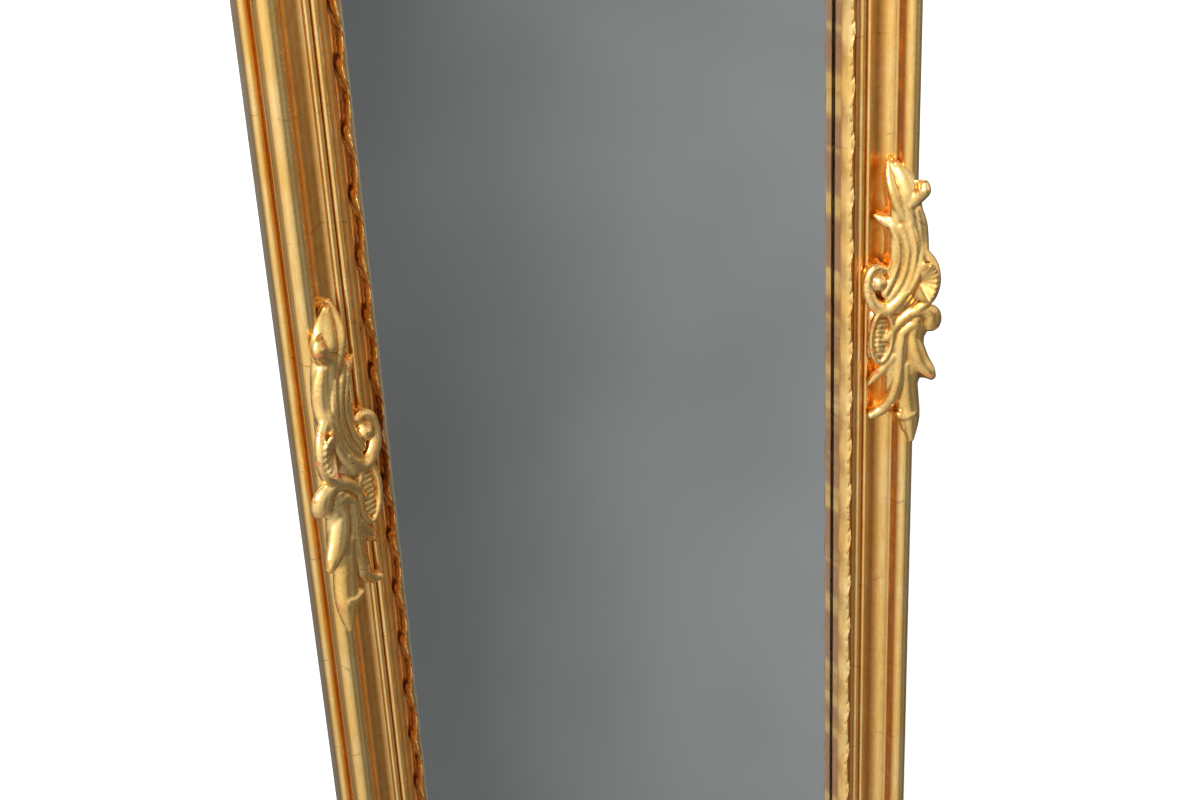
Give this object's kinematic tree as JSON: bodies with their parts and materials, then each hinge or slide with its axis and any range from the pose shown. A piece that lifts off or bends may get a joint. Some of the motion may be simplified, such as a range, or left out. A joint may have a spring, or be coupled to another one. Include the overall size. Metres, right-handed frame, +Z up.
{
  "type": "cheval floor mirror",
  "caption": "Tall floor mirror in a gilt carved moulding, leaning back on a folding easel leg with coupled stays and swinging hanger rings.",
  "frame": {"origin": "on the floor, below the middle of the part as it stands open", "axes": "+X to the right of someone facing the glass, +Y away from that person, +Z up"},
  "size_m": [0.5248, 0.3775, 1.7018],
  "materials": {
    "gilt_moulding": "old gold leaf over red clay on wood, satin",
    "gilt_slip": "old gold leaf, worn to red clay on the leaf tips",
    "gilt_ornament": "old gold leaf over pressed composition, dark in its hollows",
    "mirror_glass": "silvered float glass",
    "back_board": "brown hardboard",
    "bare_wood": "planed softwood, unfinished",
    "brass_fittings": "dull rolled brass",
    "steel_fittings": "bright zinc plate",
    "rubber": "black rubber"
  },
  "bodies": {
    "mirror_frame": {"left_stile": "gilt_moulding", "right_stile": "gilt_moulding", "top_rail": "gilt_moulding", "bottom_rail": "gilt_moulding", "left_leaf_slip": "gilt_slip", "right_leaf_slip": "gilt_slip", "top_leaf_slip": "gilt_slip", "bottom_leaf_slip": "gilt_slip", "left_side_ornament": "gilt_ornament", "right_side_ornament": "gilt_ornament", "top_left_ornament": "gilt_ornament", "top_right_ornament": "gilt_ornament", "bottom_left_ornament": "gilt_ornament", "bottom_right_ornament": "gilt_ornament", "mirror_glass": "mirror_glass", "glass_setting_blocks": "rubber", "back_panel": "back_board", "panel_clips": "steel_fittings", "panel_clip_screws": "steel_fittings", "corner_braces": "steel_fittings", "corner_brace_screws": "steel_fittings", "hinge_batten": "bare_wood", "stay_batten": "bare_wood", "batten_screws": "steel_fittings", "left_hinge_frame_leaf": "brass_fittings", "right_hinge_frame_leaf": "brass_fittings", "left_hinge_pin": "brass_fittings", "right_hinge_pin": "brass_fittings", "hinge_frame_screws": "brass_fittings", "left_stay_bracket": "steel_fittings", "right_stay_bracket": "steel_fittings", "left_stay_rivet": "steel_fittings", "right_stay_rivet": "steel_fittings", "stay_bracket_screws": "steel_fittings", "left_hanger_strap": "steel_fittings", "right_hanger_strap": "steel_fittings", "hanger_screws": "steel_fittings", "left_frame_foot": "rubber", "right_frame_foot": "rubber"},
    "easel_leg": {"left_leg_upright": "bare_wood", "right_leg_upright": "bare_wood", "leg_top_rail": "bare_wood", "leg_middle_rail": "bare_wood", "leg_bottom_rail": "bare_wood", "left_hinge_leg_leaf": "brass_fittings", "right_hinge_leg_leaf": "brass_fittings", "hinge_leg_screws": "brass_fittings", "left_slot_plate": "steel_fittings", "right_slot_plate": "steel_fittings", "slot_plate_screws": "steel_fittings", "leg_rail_screws": "steel_fittings", "left_leg_foot": "rubber", "right_leg_foot": "rubber"},
    "left_stay": {"left_stay_arm": "steel_fittings", "left_stay_stud": "steel_fittings"},
    "right_stay": {"right_stay_arm": "steel_fittings", "right_stay_stud": "steel_fittings"},
    "left_ring": {"left_hanger_ring": "steel_fittings"},
    "right_ring": {"right_hanger_ring": "steel_fittings"}
  },
  "joints": [
    {"name": "leg_fold", "type": "hinge", "parent": "mirror_frame", "child": "easel_leg", "pos_m": [0, 0.02388, 1.24489], "axis": [-1, 0, 0], "range_deg": [0, 13]},
    {"name": "left_stay_turn", "type": "hinge", "parent": "mirror_frame", "child": "left_stay", "pos_m": [-0.09, -0.01299, 0.99762], "axis": [-1, 0, 0], "range_deg": [0, 26]},
    {"name": "right_stay_turn", "type": "hinge", "parent": "mirror_frame", "child": "right_stay", "pos_m": [0.09, -0.01299, 0.99762], "axis": [-1, 0, 0], "range_deg": [0, 26]},
    {"name": "left_ring_swing", "type": "hinge", "parent": "mirror_frame", "child": "left_ring", "pos_m": [-0.235, 0.02179, 1.55653], "axis": [1, 0, 0], "range_deg": [-8, 150]},
    {"name": "right_ring_swing", "type": "hinge", "parent": "mirror_frame", "child": "right_ring", "pos_m": [0.235, 0.02179, 1.55653], "axis": [1, 0, 0], "range_deg": [-8, 150]}
  ],
  "couplings": [
    {"joint": "left_stay_turn", "follows": "leg_fold", "ratio": 2},
    {"joint": "right_stay_turn", "follows": "leg_fold", "ratio": 2}
  ]
}
